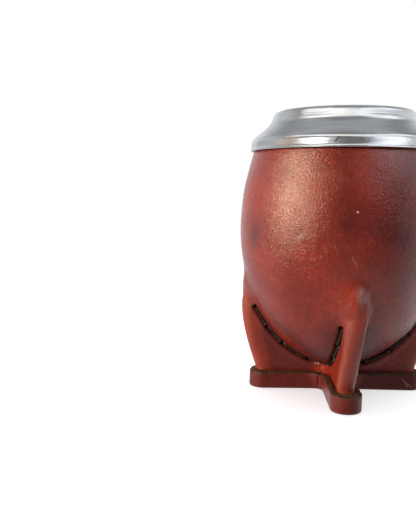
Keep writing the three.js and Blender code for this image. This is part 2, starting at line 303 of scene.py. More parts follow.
def leather_distance(x, y, z):
    """Distance in plan to the outside of the leather. The creases stay tight as far as the fins'
    tops, but for the left fin's and the one left of the front fin's ridge, which open lower down."""
    left_fin = x < -np.abs(y)
    fins = blended_min(fin_distance(True, x, y, z), fin_distance(False, x, y, z), FIN_FOOT_BLEND)
    front = y < -np.abs(x)
    loose = np.where(left_fin, 1.0, smooth(TIGHT_FROM_X, LOOSE_FROM_X, x) * front)
    top = mix(TIGHT_TOP_Z, SEWN_TOP_Z, loose)
    loose_opening = np.where(left_fin, OPENING_HEIGHT, FRONT_OPENING_HEIGHT)
    opening = mix(OPENING_HEIGHT, loose_opening, loose)
    sewn = mix(SEWN_BLEND, mix(TIGHT_BLEND, LOOSE_BLEND, loose), smooth(top, top + opening, z))
    return blended_min(fins, np.hypot(x, y) - egg_radius(z), sewn)


def slit_distance(x, y, z):
    """Distance in plan to the hollow under the foot and the slits that run out of it."""
    inner = np.minimum(np.abs(x), np.abs(y))
    outer = np.maximum(np.abs(x), np.abs(y))
    plate = np.hypot(np.maximum(outer - BAND_TIP_CENTRE, 0), inner) - SLIT_HALF
    return np.minimum(plate, np.hypot(x, y) - HOLLOW_RADIUS)


def polar_radius(distance, heading, z):
    low = np.zeros(heading.shape)
    high = np.full(heading.shape, BODY_RADIUS * SEARCH_MARGIN)
    for _ in range(HALVINGS):
        r = (low + high) / 2
        inside_it = distance(r * np.cos(heading), r * np.sin(heading), z) < 0
        low = np.where(inside_it, r, low)
        high = np.where(inside_it, high, r)
    return (low + high) / 2


def outline_rings(distance, z, crease):
    """Rings of an outline at each height, fold to crease, crease to crease and crease to fold, with
    the points crowded towards the creases."""
    z = np.asarray(z, float)[:, None]
    crease = np.asarray(crease, float)[:, None]
    to_crease = 1 - (1 - np.arange(FIN_POINTS) / FIN_POINTS) ** FIN_CROWDING
    between = np.arange(BODY_POINTS) / BODY_POINTS
    between = between - BODY_CROWDING * np.sin(2 * math.pi * between)
    from_crease = (np.arange(FIN_POINTS) / FIN_POINTS) ** FIN_CROWDING
    parts = []
    for fin in range(4):
        start = fin_heading(fin, z)
        end = fin_heading((fin + 1) % 4, z) + (2 * math.pi if fin == 3 else 0)
        for a, b, share in ((start, start + crease, to_crease),
                            (start + crease, end - crease, between),
                            (end - crease, end, from_crease)):
            heading = mix(a, b, np.linspace(0, 1, TRACE_STEPS + 1))
            r = polar_radius(distance, heading, z)
            x, y = r * np.cos(heading), r * np.sin(heading)
            walked = np.cumsum(np.hypot(np.diff(x), np.diff(y)), 1)
            walked = np.concatenate([np.zeros((len(z), 1)), walked], 1)
            parts.append(np.stack([np.interp(share * w[-1], w, h)
                                   for w, h in zip(walked, np.broadcast_to(heading, x.shape))]))
    heading = np.concatenate(parts, 1)
    r = polar_radius(distance, heading, z)
    return np.stack([r * np.cos(heading), r * np.sin(heading), np.broadcast_to(z, r.shape)], 2)


def crease_angle(z):
    sewn = np.arcsin(np.minimum(fin_half(z) / np.maximum(egg_radius(z), 1e-6), 1))
    rise = smooth(LOOSE_Z, WIDEST_Z, z)
    return mix(np.minimum(sewn, WIDEST_CREASE_ANGLE), UPPER_CREASE_ANGLE, rise)


# The seam of each quarter runs in the crease: down beside one fin, under the gourd and up the next.
SEAM_STEPS = 240
SEAM_TOP_REACH = 34.0
SEAM_CLEARANCE = 0.05
FRONT_FIN_SEAM_SHARE = 0.955
SLOPE_STEP = 0.01
PUSH_ROUNDS = 60
PUSH_SHARE = 0.6
SINK_ROUND = 30
SMOOTHINGS = 12
STITCH_SHARES = (0.0, 0.255, 0.51, 0.845)


def seam_path(quarter):
    """Points in mm down the crease beside a fin, under the gourd and up beside the next."""
    start = -FRONT_FIN_SEAM_SHARE if quarter == 0 else -1
    end = FRONT_FIN_SEAM_SHARE if quarter == 3 else 1
    t = np.linspace(start, end, SEAM_STEPS + 1)
    reach = np.maximum(SEAM_TOP_REACH * np.abs(t), FIN_FOOT_BLEND)
    z = WIDEST_Z - LOWER_SEMI * np.sqrt(1 - (reach / BODY_RADIUS) ** 2)
    here, there = fin_heading(quarter, z), fin_heading((quarter + 1) % 4, z)
    heading = np.where(t < 0, here, there)
    spread = np.maximum(fin_half(z), FIN_FOOT_BLEND * (1 - np.abs(t) * 2)) * np.where(t < 0, 1, -1)
    x = reach * np.cos(heading) - spread * np.sin(heading)
    y = reach * np.sin(heading) + spread * np.cos(heading)
    sink = (1.0 + 1.8 * t) * smooth(0.1, 0.4, t) if quarter == 0 else 0 * t
    for turn in range(PUSH_ROUNDS):
        if turn == SINK_ROUND:
            z = z - sink
        at = leather_distance(x, y, z)
        slope = np.stack([leather_distance(x + SLOPE_STEP, y, z) - at,
                          leather_distance(x, y + SLOPE_STEP, z) - at,
                          leather_distance(x, y, z + SLOPE_STEP) - at]) / SLOPE_STEP
        steep = np.linalg.norm(slope, axis=0)
        push = (SEAM_CLEARANCE - at / steep) / steep * PUSH_SHARE
        x, y, z = x + slope[0] * push, y + slope[1] * push, z + slope[2] * push
    path = np.stack([x, y, z], 1)
    for _ in range(SMOOTHINGS):
        path[1:-1] = (path[:-2] + 2 * path[1:-1] + path[2:]) / 4
    out = (slope / steep).T
    return path, out / np.linalg.norm(out, axis=1)[:, None]


seams = []
for quarter in range(4):
    path, out = seam_path(quarter)
    walked = np.concatenate([[0], np.cumsum(np.linalg.norm(np.diff(path, axis=0), axis=1))])
    ends = walked[-1] / 2 * np.array(STITCH_SHARES)
    ends = np.concatenate([ends, walked[-1] - ends[::-1]])
    count = np.interp(walked, ends, np.arange(len(ends)))
    seams.append((path, out, count, walked, ends))

# Heights of the outside's rings, closest where the fins fold and the seams run.
levels = np.concatenate([
    [0.0, 0.12, 0.4, 1.2, 4.0, 7.0], np.arange(8.2, 40.0, 0.32), np.arange(40.2, 56.0, 0.62),
    np.linspace(56.4, SHOULDER_Z - 0.3, 44),
])
outer = outline_rings(leather_distance, levels, crease_angle(levels))
for level, inset in enumerate(FOOT_EDGE_INSETS):
    outer[level, :, :2] *= 1 - inset / np.hypot(outer[level, :, 0], outer[level, :, 1])[:, None]
around = outer.shape[1]

# Distance from each point of the outside to the nearest seam, and along it to the nearest hole.
FAR = 99.0
SEAMS_BELOW_Z = 44
flat = outer.reshape(-1, 3)
near = np.full(len(flat), FAR)
hole = np.full(len(flat), FAR)
low = flat[:, 2] < SEAMS_BELOW_Z
for path, out, count, walked, ends in seams:
    apart = np.linalg.norm(flat[low][:, None] - path[None, ::2], axis=2)
    best = apart.argmin(1)
    gap = apart[np.arange(len(best)), best]
    to_hole = np.abs(walked[::2][best][:, None] - ends).min(1)
    closer = gap < near[low]
    near[low] = np.where(closer, gap, near[low])
    hole[low] = np.where(closer, to_hole, hole[low])
near = near.reshape(outer.shape[:2])
hole = hole.reshape(outer.shape[:2])

tangent_round = np.roll(outer, -1, 1) - np.roll(outer, 1, 1)
tangent_up = np.gradient(outer, axis=0)
normal = np.cross(tangent_round, tangent_up)
normal /= np.maximum(np.linalg.norm(normal, axis=2), 1e-9)[..., None]


def blob(x, y, z, radius):
    """A soft round mark on the leather: 1 in the middle and 0 well outside its radius."""
    return np.exp(-((outer - (x, y, z)) ** 2).sum(2) / radius ** 2)


def stripe(radius, *points):
    """A soft line through points."""
    line = np.zeros(outer.shape[:2])
    for start, end in zip(points, points[1:]):
        start, way = np.array(start), np.array(end) - np.array(start)
        t = np.clip(((outer - start) @ way) / (way @ way), 0, 1)
        apart = ((outer - start - t[..., None] * way) ** 2).sum(2)
        line = np.maximum(line, np.exp(-apart / radius ** 2))
    return line


# How far each point stands out, in mm: slow unevenness, the groove of each seam, the dips at its
# holes and the swelling beside it, a bulge low on the right and the knuckle on the front fin.
GROOVE_DEPTH, GROOVE_WIDTH = 0.75, 0.85
DIP_DEPTH, DIP_WIDTH, DIP_LENGTH = 1.4, 0.95, 0.9
SWELLING, SWELLING_AT, SWELLING_WIDTH = 0.2, 2.0, 0.9
height_z = outer[..., 2]
sewn_z = smooth(8.0, 10.5, height_z)
push = 0.22 * wobble(outer, 26.0, 11) + 0.08 * wobble(outer, 9.0, 12)
push = push * smooth(8, 20, height_z)
push -= sewn_z * GROOVE_DEPTH * np.exp(-(near / GROOVE_WIDTH) ** 2)
at_hole = np.exp(-(near / DIP_WIDTH) ** 2) * np.exp(-(hole / DIP_LENGTH) ** 4)
push -= sewn_z * DIP_DEPTH * at_hole
push += sewn_z * SWELLING * np.exp(-((near - SWELLING_AT) / SWELLING_WIDTH) ** 2)
push += 0.9 * blob(27.5, -14.0, 28.0, 9.0) * smooth(0.5, 3.0, near)
push += 0.5 * blob(2.5, -40.1, 45.7, 2.6) + 0.3 * blob(2.7, -40.4, 45.6, 1.1)

# Folds and dents: height and radius in mm, and the points that each one runs through.
FOLDS_AND_DENTS = {
    "front fin's ridge": (
        0.50, 0.9, (5.2, -38.9, 41.5), (4.3, -39.0, 32.8), (3.6, -37.2, 24.9), (2.8, -33.0, 12.0)),
    "valley beside the ridge": (-0.30, 1.3, (6.9, -38.3, 45.5), (7.2, -37.8, 38.0)),
    "valley on the left fin": (
        -0.35, 1.5, (-38.7, -5.7, 48.0), (-35.4, -10.4, 41.0), (-34.0, -9.0, 36.6)),
    "dent on the belly": (-0.14, 1.0, (-20.8, -35.7, 67.0), (-19.2, -36.5, 68.1)),
    "lip of the dent": (0.10, 0.8, (-19.5, -36.4, 65.8), (-16.6, -37.8, 65.4), (-12.3, -39.4, 66.9)),
    "wrinkle under the knuckle": (-0.30, 0.5, (0.2, -40.6, 43.2), (3.6, -39.8, 42.4)),
}
for rise, radius, *points in FOLDS_AND_DENTS.values():
    push += rise * stripe(radius, *points)
push *= smooth(RELIEF_ENDS_Z, RELIEF_FULL_Z, height_z)
outer = outer + normal * push[..., None]

lining = egg_profile(LEATHER_THICKNESS, SHOULDER_Z, LINING_STEPS)[::-1]
top_edge = [(float(egg_radius(SHOULDER_Z)) - TOUCH_GAP, SHOULDER_Z)]
heading = np.arctan2(outer[-1, :, 1], outer[-1, :, 0])


def rings_at(profile):
    r, z = np.asarray(profile, float).T
    x, y = r[:, None] * np.cos(heading), r[:, None] * np.sin(heading)
    return np.stack([x, y, np.broadcast_to(z[:, None], x.shape)], 2)


slit_angle = np.full(2, math.asin(SLIT_HALF / HOLLOW_RADIUS))
slits = outline_rings(slit_distance, [SLIT_DEPTH, 0.0], slit_angle)
dome = [(HOLLOW_RADIUS / 2, HOLLOW_DEPTH), (HOLLOW_RADIUS, HOLLOW_DEPTH / 2),
        (HOLLOW_RADIUS, SLIT_DEPTH + 0.05)]
slit_heading = np.arctan2(slits[0, :, 1], slits[0, :, 0])
r, z = np.asarray(dome).T
dome = np.stack([r[:, None] * np.cos(slit_heading), r[:, None] * np.sin(slit_heading),
                 np.broadcast_to(z[:, None], (3, around))], 2)
skin = np.concatenate([dome, slits, outer, rings_at(top_edge), rings_at(lining[:-1])])
rings_below = len(dome) + len(slits)

# Where the leather is folded, worn bright or scuffed, and where it is darkened by stains, by painted
# shade in the creases and stitch holes and by a painted shadow, from 0 to 1.
fold = np.zeros(outer.shape[:2])
for fin in range(4):
    turned_by = fin_heading(fin, outer[..., 2])
    along_fin = outer[..., 0] * np.cos(turned_by) + outer[..., 1] * np.sin(turned_by)
    across_fin = np.abs(outer[..., 1] * np.cos(turned_by) - outer[..., 0] * np.sin(turned_by))
    edge = smooth(-4.5, 0.5, along_fin - fin_reach(outer[..., 2]) + fin_half(outer[..., 2]))
    fold = np.maximum(fold, edge * smooth(9, 3, across_fin) * smooth(50, 38, outer[..., 2]))
# Painted shade along the creases beside the seams.
crease = np.exp(-(near / 1.6) ** 2)
# Stains, and a darker patch high on the belly's left: share, the point at the middle and radius in mm.
BLOTS = (
    (0.8, -36.2, -19.9, 68.5, 4.5), (0.6, -36.0, -20.5, 63.5, 3.5), (0.65, 22.0, -35.0, 62.0, 13.0),
    (0.3, 18.0, -36.0, 85.0, 12.0), (0.28, 1.5, -40.2, 44.5, 5.0), (0.30, -28.0, -25.5, 91.0, 8.0),
)
# Longer stains, and painted shade over the left seam: share, radius in mm and the points that each one
# runs through.
SMEARS_AND_SHADE = {
    "across the belly": (0.55, 5.0, (-3.0, -41.0, 70.5), (6.0, -40.5, 69.5), (17.0, -37.5, 67.0)),
    "down from the rim": (0.5, 4.5, (-5.0, -36.0, 99.0), (-5.0, -39.0, 92.0), (-3.0, -40.6, 74.0)),
    "painted shade over the left seam": (
        0.75, 4.5, (-26.0, -17.5, 31.0), (-21.0, -20.0, 26.5), (-12.6, -18.5, 19.5)),
    "down the front fin": (
        0.34, 3.5, (-0.8, -40.0, 37.0), (-0.8, -39.5, 29.0), (-0.8, -37.5, 19.5), (-0.8, -34.0, 8.0)),
}
# The stains, and below them a painted shadow and painted shade, all darken the leather through this one
# mask.
darkening = np.zeros(outer.shape[:2])
for share, *place in BLOTS:
    darkening += share * blob(*place)
for share, radius, *points in SMEARS_AND_SHADE.values():
    darkening += share * stripe(radius, *points)
# Painted shadow: the left fin is darkened on the cup's side of a line down its fold. Painted shade:
# so is the leather that faces down beside a seam.
on_left_fin = (np.abs(outer[..., 1]) < 6) * smooth(-8, -12, outer[..., 0])
left_of = -31.5 + 0.22 * (28.0 - outer[..., 2])
darkening += 0.75 * on_left_fin * smooth(-0.9, 0.9, outer[..., 0] - left_of) * smooth(31, 27, outer[..., 2])
under = smooth(-0.12, -0.5, normal[..., 2])
darkening += 0.95 * under * np.exp(-(near / 6.5) ** 2) * smooth(37, 27, outer[..., 2])
darkening = np.clip(darkening, 0, 1)
bright = blob(-2.2, -40.3, 47.0, 3.4) + stripe(1.6, (-0.5, -39.8, 45.0), (1.0, -39.6, 40.4))
bright += 0.8 * stripe(1.4, (1.0, -39.6, 40.4), (1.8, -39.6, 33.5))
bright = np.clip(bright, 0, 1)
scuff = stripe(1.5, (2.6, -40.4, 47.4), (2.8, -40.4, 44.2))
# Painted shade in each stitch hole, where the thread dips in.
painted_hole_shade = np.exp(-(near / 1.15) ** 4) * np.exp(-(hole / 1.0) ** 4)


def skin_values(values):
    full = np.zeros(skin.shape[:2])
    full[rings_below:rings_below + len(values)] = values
    return full


leather = build("leather", skin, attributes=(
    ("crease", skin_values(crease)), ("fold", skin_values(fold)), ("painted_hole_shade", skin_values(painted_hole_shade)),
    ("darkening", skin_values(darkening)), ("bright", skin_values(bright)), ("scuff", skin_values(scuff)),
))
look, tree, shader, where = new_look("leather_moulded")


def attribute(tree, name):
    return add(tree, "ShaderNodeAttribute", {}, attribute_name=name).outputs["Fac"]


def mark(tree, where, width, start, end):
    """A fine scratch between two points in mm: 1 on the line and 0 beyond its width."""
    start, way = Vector(start) * MM, (Vector(end) - Vector(start)) * MM
    from_start = add(tree, "ShaderNodeVectorMath", {0: where, 1: start}, operation="SUBTRACT").outputs[0]
    along = add(tree, "ShaderNodeVectorMath", {0: from_start, 1: way / max(way.length_squared, 1e-12)},
                operation="DOT_PRODUCT").outputs["Value"]
    along = add(tree, "ShaderNodeClamp", {"Value": along}).outputs[0]
    to_line = add(tree, "ShaderNodeVectorMath", {0: way, "Scale": along}, operation="SCALE").outputs[0]
    apart = add(tree, "ShaderNodeVectorMath", {0: from_start, 1: to_line}, operation="DISTANCE")
    return ramp(tree, apart.outputs["Value"], width * MM, 0.35 * width * MM)


def marks(tree, where, width, lines):
    """Several fine scratches together."""
    total = 0.0
    for start, end in lines:
        total = math_node(tree, "MAXIMUM", mark(tree, where, width, start, end), total)
    return total


def strokes(tree, where, turn, scale, width):
    """Sparse fine scratches, each a few mm long, that all run one way."""
    where = add(tree, "ShaderNodeMapping", {"Vector": where, "Rotation": turn}).outputs[0]
    drift = noise(tree, where, 140.0, 2.0, 0.5)
    where = add(tree, "ShaderNodeVectorMath", {0: where, 1: add(tree, "ShaderNodeCombineXYZ", {
        "X": math_node(tree, "MULTIPLY", drift, 0.006)}).outputs[0]}, operation="ADD").outputs[0]
    where = add(tree, "ShaderNodeMapping", {"Vector": where, "Scale": (1.0, 1.0, 0.09)}).outputs[0]
    cell = add(tree, "ShaderNodeTexVoronoi", {"Vector": where, "Scale": scale}).outputs
    line = ramp(tree, cell["Distance"], width, 0.3 * width)
    return math_node(tree, "MULTIPLY", line, ramp(tree, noise(tree, where, 60.0, 1.0), 0.40, 0.55))


NICK_TURNS = (((0.3, 0.9, 0.0), 420.0, 0.13), ((1.2, -0.6, 0.7), 380.0, 0.13),
              ((0.1, 2.2, 0.2), 400.0, 0.12))
NICK_COLOUR = (0.05, 0.008, 0.006)
GRAIN_DEPTH = 0.0004
LEATHER_IOR = 1.5


def leather_look(tree, shader, where, base, deep, dullness, shine, worn):
    """Colour, sheen and grain of waxed leather. It returns the colour socket before it is linked."""
    cloud = ramp(tree, noise(tree, where, 55.0, 4.0, 0.6), 0.35, 0.68)
    mottle = ramp(tree, noise(tree, where, 600.0, 4.0, 0.65, (1.0, 1.0, 0.45)), 0.38, 0.62)
    speckle = ramp(tree, noise(tree, where, 1900.0, 3.0, 0.75, (1.0, 1.0, 0.6)), 0.38, 0.62)
    colour = blend(tree, math_node(tree, "MULTIPLY", cloud, 0.5), base, deep)
    colour = blend(tree, math_node(tree, "MULTIPLY", mottle, 0.4), colour, deep)
    colour = blend(tree, math_node(tree, "MULTIPLY", speckle, 0.58), colour, deep)
    nicks = 0.0
    for turn, scale, width in NICK_TURNS:
        nicks = math_node(tree, "ADD", nicks, strokes(tree, where, turn, scale, width))
    nicks = math_node(tree, "MINIMUM", nicks, 1.0)
    colour = blend(tree, math_node(tree, "MULTIPLY", nicks, 0.55), colour, NICK_COLOUR)
    bent = noise(tree, where, 260.0, 2.0, 0.5)
    bent = add(tree, "ShaderNodeVectorMath", {0: where, 1: add(tree, "ShaderNodeCombineXYZ", {
        "X": math_node(tree, "MULTIPLY", bent, 0.004),
        "Z": math_node(tree, "MULTIPLY", bent, -0.004)}).outputs[0]}, operation="ADD").outputs[0]
    cracks = add(tree, "ShaderNodeTexVoronoi", {"Vector": bent, "Scale": 900.0},
                 feature="DISTANCE_TO_EDGE").outputs["Distance"]
    cracks = ramp(tree, cracks, 0.02, 0.16)
    grain = noise(tree, where, 1250.0, 4.0, 0.74)
    lumps = noise(tree, where, 330.0, 3.0, 0.6)
    height = math_node(tree, "ADD", math_node(tree, "MULTIPLY", grain, 0.62),
                       math_node(tree, "MULTIPLY", cracks, 0.12))
    height = math_node(tree, "ADD", height, math_node(tree, "MULTIPLY", lumps, 0.2))
    height = math_node(tree, "SUBTRACT", height, math_node(tree, "MULTIPLY", nicks, 0.3))
    raised = add(tree, "ShaderNodeBump", {"Height": height, "Distance": GRAIN_DEPTH, "Strength": 0.6})
    tree.links.new(raised.outputs[0], shader.inputs["Normal"])
    dull = math_node(tree, "MULTIPLY", noise(tree, where, 130.0, 4.0, 0.6), 0.22)
    dull = math_node(tree, "ADD", dull, dullness - 0.11)
    dull = math_node(tree, "ADD", dull, worn)
    tree.links.new(dull, shader.inputs["Roughness"])
    shader.inputs["IOR"].default_value = LEATHER_IOR
    shader.inputs["Specular IOR Level"].default_value = shine
    return colour


def tint(tree, colour, name, share, to):
    """The colour shifted towards another where the mesh's attribute of that name says so."""
    return blend(tree, math_node(tree, "MULTIPLY", attribute(tree, name), share), colour, to)


worn = math_node(tree, "MULTIPLY", attribute(tree, "fold"), 0.14)
colour = leather_look(tree, shader, where, base=(0.42, 0.042, 0.021), deep=(0.15, 0.012, 0.006),
                      dullness=0.25, shine=0.76, worn=worn)
# Of these tints, the one on the creases and the one at the stitch holes are painted shade, and the one
# for stains also carries painted shade and a painted shadow.
for name, share, to in (("fold", 0.4, (0.45, 0.076, 0.038)), ("bright", 0.5, (0.48, 0.045, 0.016)),
                        ("darkening", 0.75, (0.085, 0.008, 0.006)), ("crease", 0.7, (0.10, 0.012, 0.009)),
                        ("scuff", 0.5, (0.42, 0.24, 0.23)), ("painted_hole_shade", 1.0, (0.004, 0.003, 0.003))):
    colour = tint(tree, colour, name, share, to)
dark_marks = marks(tree, where, 0.4, (
    ((-29.7, -27.7, 77.6), (-27.9, -29.4, 78.2)), ((-27.9, -29.4, 78.2), (-26.2, -31.1, 77.9)),
    ((-20.8, -35.5, 70.6), (-20.6, -35.6, 70.6)), ((-18.8, -36.7, 70.0), (-18.6, -36.8, 70.1)),
    ((-20.8, -35.7, 67.0), (-19.2, -36.5, 68.1)), ((-16.5, -37.7, 69.9), (-13.1, -39.1, 70.2)),
    ((-18.1, -34.0, 91.0), (-16.4, -35.6, 88.1)), ((10.8, -39.8, 66.4), (11.0, -39.8, 66.4)),
))
light_marks = marks(tree, where, 0.36, (
    ((-19.5, -36.4, 65.8), (-16.6, -37.8, 65.4)), ((-15.3, -38.3, 65.8), (-12.3, -39.4, 66.9)),
    ((-17.6, -34.0, 91.5), (-15.9, -35.6, 88.6)), ((-13.0, -38.6, 76.5), (-12.0, -38.7, 78.6)),
    ((-1.5, -41.0, 59.9), (0.4, -40.7, 56.6)), ((-7.6, -40.6, 63.7), (-6.4, -40.6, 60.9)),
))
colour = blend(tree, math_node(tree, "MULTIPLY", dark_marks, 0.75), colour, (0.035, 0.006, 0.005))
colour = blend(tree, math_node(tree, "MULTIPLY", light_marks, 0.33), colour, (0.60, 0.26, 0.17))
speck = mark(tree, where, 0.5, (0.0, -40.9, 75.9), (0.1, -40.9, 75.9))
colour = blend(tree, speck, colour, (0.75, 0.68, 0.55))
tree.links.new(colour, shader.inputs["Base Color"])
leather.data.materials.append(look)
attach(leather, "root")
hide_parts("leather_cover")

# The thread. One waxed black cord for each quarter is sewn through the leather with an awl, so it
# lies in the crease in long stitches, dips into a hole at each end and pulls the leather in there.
THREAD_RADIUS = 0.64
STITCH_STEPS = 420
STITCH_DIP = 1.7
STITCH_SLANT = 0.9
DIP_FROM = 0.82
DIP_TO = 0.99
STRAND_LOBE = 0.12
TWIST_PER_METRE = 900.0
SECTION_POINTS = 12
POINTS_PER_STRAND = 4


def stitch_tree():
    """Geometry Nodes that turn a seam's path into a twisted thread which dips at every hole."""
    tree = bpy.data.node_groups.new("stitches", "GeometryNodeTree")
    inputs = (("Geometry", "Geometry"), ("Steps", "Int"), ("Thread Radius", "Float"),
              ("Dip", "Float"), ("Slant", "Float"), ("Twist", "Float"), ("Lobe", "Float"),
              ("Material", "Material"))
    for label, kind in inputs:
        tree.interface.new_socket(label, in_out="INPUT", socket_type=f"NodeSocket{kind}")
    tree.interface.new_socket("Geometry", in_out="OUTPUT", socket_type="NodeSocketGeometry")
    given = tree.nodes.new("NodeGroupInput").outputs

    def put(kind, inputs, **settings):
        return add(tree, kind, inputs, **settings)

    def calc(operation, a, b=0.0):
        return put("ShaderNodeMath", {0: a, 1: b}, operation=operation).outputs[0]

    curve = put("GeometryNodeMeshToCurve", {"Mesh": given["Geometry"]}).outputs[0]
    curve = put("GeometryNodeResampleCurve", {"Curve": curve, "Count": given["Steps"]}).outputs[0]
    count = put("GeometryNodeInputNamedAttribute", {"Name": "stitch"}, data_type="FLOAT")
    out = put("GeometryNodeInputNamedAttribute", {"Name": "out"}, data_type="FLOAT_VECTOR")
    phase = calc("FRACT", count.outputs["Attribute"])
    to_end = calc("ABSOLUTE", calc("SUBTRACT", calc("MULTIPLY", phase, 2.0), 1.0))
    sunk = put("ShaderNodeMapRange", {"Value": to_end, "From Min": DIP_FROM, "From Max": DIP_TO},
               interpolation_type="SMOOTHSTEP").outputs[0]
    lift = calc("MULTIPLY", calc("MULTIPLY", sunk, given["Dip"]), -1.0)
    tangent = put("GeometryNodeInputTangent", {}).outputs[0]
    side = put("ShaderNodeVectorMath", {0: tangent, 1: out.outputs["Attribute"]},
               operation="CROSS_PRODUCT").outputs[0]
    sideways = calc("MULTIPLY", calc("SUBTRACT", phase, 0.5), given["Slant"])
    down = put("ShaderNodeVectorMath", {0: out.outputs["Attribute"], "Scale": lift},
               operation="SCALE").outputs[0]
    across = put("ShaderNodeVectorMath", {0: side, "Scale": sideways}, operation="SCALE").outputs[0]
    moved = put("ShaderNodeVectorMath", {0: down, 1: across}, operation="ADD").outputs[0]
    curve = put("GeometryNodeSetPosition", {"Geometry": curve, "Offset": moved}).outputs[0]
    length = put("GeometryNodeSplineParameter", {}).outputs["Length"]
    tilt = calc("MULTIPLY", length, given["Twist"])
    curve = put("GeometryNodeSetCurveTilt", {"Curve": curve, "Tilt": tilt}).outputs[0]

    section = put("GeometryNodeCurvePrimitiveCircle",
                  {"Resolution": SECTION_POINTS, "Radius": given["Thread Radius"]}).outputs[0]
    index = put("GeometryNodeInputIndex", {}).outputs[0]
    wave = calc("COSINE", calc("MULTIPLY", index, 2 * math.pi / POINTS_PER_STRAND))
    outward = put("GeometryNodeInputPosition", {}).outputs[0]
    lobed = put("ShaderNodeVectorMath", {0: outward, "Scale": calc("MULTIPLY", wave, given["Lobe"])},
                operation="SCALE").outputs[0]
    section = put("GeometryNodeSetPosition", {"Geometry": section, "Offset": lobed}).outputs[0]
    thread = put("GeometryNodeCurveToMesh",
                 {"Curve": curve, "Profile Curve": section, "Fill Caps": True}).outputs[0]
    thread = put("GeometryNodeSetShadeSmooth", {"Geometry": thread}).outputs[0]
    thread = put("GeometryNodeRealizeInstances", {"Geometry": thread}).outputs[0]
    thread = put("GeometryNodeSetMaterial",
                 {"Geometry": thread, "Material": given["Material"]}).outputs[0]
    put("NodeGroupOutput", {0: thread})
    return tree


look, tree, shader, where = new_look("waxed_thread")
worn = ramp(tree, noise(tree, where, 900.0, 4.0, 0.6), 0.52, 0.72)
colour = blend(tree, worn, (0.008, 0.009, 0.007), (0.10, 0.115, 0.09))
tree.links.new(colour, shader.inputs["Base Color"])
shader.inputs["Roughness"].default_value = 0.5
stitches = stitch_tree()
sockets = {s.name: s.identifier for s in stitches.interface.items_tree if s.in_out == "INPUT"}
settings = {"Steps": STITCH_STEPS, "Thread Radius": THREAD_RADIUS * MM, "Dip": STITCH_DIP * MM,
            "Slant": STITCH_SLANT * MM, "Twist": TWIST_PER_METRE, "Lobe": STRAND_LOBE, "Material": look}
threads = []
for quarter, where_it_is in enumerate(("front_right", "back_right", "back_left", "front_left")):
    path, out, count, walked, ends = seams[quarter]
    path = path.copy()
    path[:, 0] += LEAN * (path[:, 2] - WIDEST_Z)
    mesh = bpy.data.meshes.new("seam_" + where_it_is)
    mesh.from_pydata((path * MM).tolist(), [(i, i + 1) for i in range(len(path) - 1)], [])
    mesh.attributes.new("stitch", "FLOAT", "POINT").data.foreach_set("value", count.astype("f4"))
    vectors = mesh.attributes.new("out", "FLOAT_VECTOR", "POINT")
    vectors.data.foreach_set("vector", out.astype("f4").ravel())
    seam = bpy.data.objects.new("seam_" + where_it_is, mesh)
    bpy.context.scene.collection.objects.link(seam)
    sewing = seam.modifiers.new("stitches", "NODES")
    sewing.node_group = stitches
    for label, value in settings.items():
        sewing[sockets[label]] = value
    bpy.context.view_layer.update()
    made = bpy.data.meshes.new_from_object(seam.evaluated_get(bpy.context.evaluated_depsgraph_get()))
    seam.modifiers.remove(sewing)
    bpy.data.objects.remove(seam)
    made.name = "stitches_" + where_it_is
    thread = bpy.data.objects.new("stitches_" + where_it_is, made)
    bpy.context.scene.collection.objects.link(thread)
    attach(thread, "root")
    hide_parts("thread_" + where_it_is)
    threads.append(thread)

# The band. A strip of the same leather, cut raw, is bent round the foot and in between the fins,
# and its two ends butt together beside the left fin. Its cut edges are fibrous and darker.
BAND_OUTER_HALF = 6.0
BAND_INNER_HALF = FIN_HALF_AT_FOOT + TOUCH_GAP / 2
BAND_JOINT_X = -8.0
BAND_JOINT_GAP = 0.4
BAND_TIP_SLACK = (1.4, 0.3, 0.2, -0.2)
BAND_TIP_SHIFT = (0.0, 0.0, 0.0, 0.9)
CORNER_AT_FOOT = 3.4
CORNER_AT_TOP = 7.4
JOINT_POINTS = 16
RUN_POINTS = 26
TIP_POINTS = 44
CORNER_POINTS = 28
FRAY_HEIGHT = 0.14
BAND_WAVINESS = 0.0035


def arc(centre, radius, start, end, count):
    turn = np.linspace(start, end, count)
    return np.asarray(centre) + radius * np.stack([np.cos(turn), np.sin(turn)], 1)


def band_line(half, z):
    """The band's plan at one height, a distance from the fins' mid-planes, from joint to joint."""
    outer_corner = mix(CORNER_AT_FOOT, CORNER_AT_TOP, smooth(-1.0, BAND_HEIGHT, z))
    centre = BAND_OUTER_HALF + outer_corner
    corner = centre - half
    joint = math.acos((centre + BAND_JOINT_X) / outer_corner)
    gap = BAND_JOINT_GAP / 2 / corner
    line = [arc((-centre, -centre), corner, joint - gap, 0, JOINT_POINTS)[:-1]]
    for fin in range(4):
        heading = (fin - 1) * math.pi / 2
        way = np.array([math.cos(heading), math.sin(heading)])
        side = np.array([-way[1], way[0]])
        run = np.linspace(0, 1, RUN_POINTS)[:-1, None]
        share = (half - BAND_INNER_HALF) / (BAND_OUTER_HALF - BAND_INNER_HALF)
        tip = BAND_TIP_CENTRE * way + share * (BAND_TIP_SLACK[fin] * way + BAND_TIP_SHIFT[fin] * side)
        line.append(mix(centre * way, tip, run) - half * side)
        line.append(arc(tip, half, heading - math.pi / 2, heading + math.pi / 2, TIP_POINTS)[:-1])
        line.append(mix(centre * way, tip, 1 - run) + half * side)
        start, end = heading - math.pi / 2, heading - math.pi
        if fin == 3:
            end, start = joint + gap, math.pi / 2
        bend = arc(centre * (way + side), corner, start, end, CORNER_POINTS)
        line.append(bend[:-1] if fin < 3 else bend)
    return np.concatenate(line)


